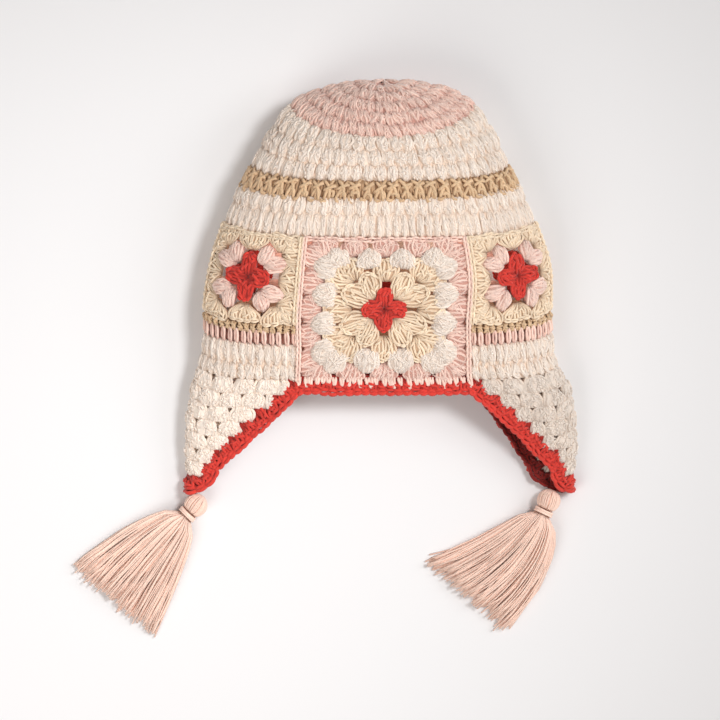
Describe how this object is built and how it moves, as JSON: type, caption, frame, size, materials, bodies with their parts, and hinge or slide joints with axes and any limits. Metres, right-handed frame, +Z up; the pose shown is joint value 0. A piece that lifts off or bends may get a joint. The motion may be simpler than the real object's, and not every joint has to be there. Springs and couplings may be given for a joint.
{
  "type": "chullo hat",
  "caption": "Soft crocheted hat of granny squares and striped rows with folded ear flaps, red edging and a tassel on each flap, lying flat on its back.",
  "frame": {"origin": "on the surface that the hat lies on, under the middle of the white band at its back", "axes": "+X to the right of someone looking down on the hat's front, +Y towards the crown, +Z up from the surface"},
  "size_m": [0.3497, 0.3864, 0.0642],
  "materials": {
    "white_yarn": "fluffy off-white wool yarn, crocheted",
    "pink_yarn": "fluffy pale pink wool yarn, crocheted",
    "beige_yarn": "smooth plied beige cotton yarn, crocheted",
    "stripe_yarn": "smooth plied darker beige cotton yarn, crocheted",
    "red_yarn": "smooth plied red cotton yarn, crocheted",
    "tassel_yarn": "loose salmon pink yarn strands"
  },
  "bodies": {
    "root": {"crown_disc": "pink_yarn", "upper_white_band": "white_yarn", "beige_stripe": "stripe_yarn", "lower_white_band": "white_yarn", "front_square_round_1_red": "red_yarn", "front_square_round_2_beige": "beige_yarn", "front_square_round_3_beige": "beige_yarn", "front_square_round_4_white": "white_yarn", "front_square_round_5_pink": "pink_yarn", "back_square_round_1_red": "red_yarn", "back_square_round_2_beige": "beige_yarn", "back_square_round_3_beige": "beige_yarn", "back_square_round_4_white": "white_yarn", "back_square_round_5_pink": "pink_yarn", "front_left_square_round_1_red": "red_yarn", "front_left_square_round_2_pink": "pink_yarn", "front_left_square_round_3_beige": "beige_yarn", "front_right_square_round_1_red": "red_yarn", "front_right_square_round_2_pink": "pink_yarn", "front_right_square_round_3_beige": "beige_yarn", "back_left_square_round_1_red": "red_yarn", "back_left_square_round_2_pink": "pink_yarn", "back_left_square_round_3_beige": "beige_yarn", "back_right_square_round_1_red": "red_yarn", "back_right_square_round_2_pink": "pink_yarn", "back_right_square_round_3_beige": "beige_yarn", "left_beige_row": "stripe_yarn", "left_pink_row": "pink_yarn", "left_white_rows": "white_yarn", "left_ear_flap": "white_yarn", "right_beige_row": "stripe_yarn", "right_pink_row": "pink_yarn", "right_white_rows": "white_yarn", "right_ear_flap": "white_yarn", "red_edging": "red_yarn", "left_tassel": "tassel_yarn", "left_tassel_binding": "tassel_yarn", "right_tassel": "tassel_yarn", "right_tassel_binding": "tassel_yarn"}
  },
  "joints": []
}
